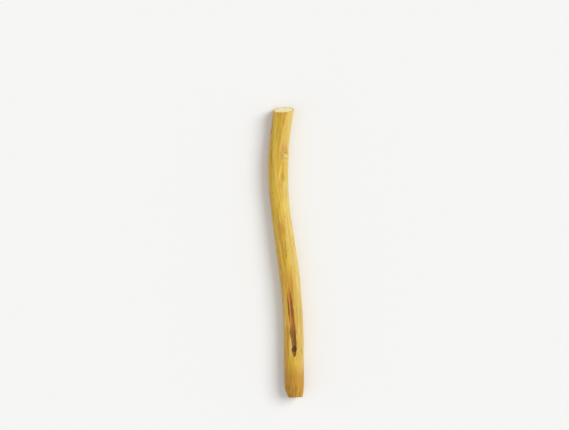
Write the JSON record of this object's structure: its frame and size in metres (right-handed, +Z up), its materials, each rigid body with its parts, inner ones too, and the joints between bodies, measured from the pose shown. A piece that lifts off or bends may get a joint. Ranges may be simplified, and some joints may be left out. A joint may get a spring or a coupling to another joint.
{
  "type": "miswak stick",
  "caption": "Slender, gently S-curved natural root stick with yellow bark, cut to hand length for chewing into a brush, lying on its side.",
  "frame": {"origin": "on the surface that the stick lies on, under the middle of its box", "axes": "+Y along the stick towards its sawn, knotted end, +Z up, +X to the right of the stick seen from above with the sawn end away from the viewer"},
  "size_m": [0.0186, 0.1504, 0.0111],
  "materials": {
    "bark": "satin golden-yellow root bark with fine lengthwise grain, paler cream wood at both cut ends"
  },
  "bodies": {
    "root": {"stick": "bark"}
  },
  "joints": []
}
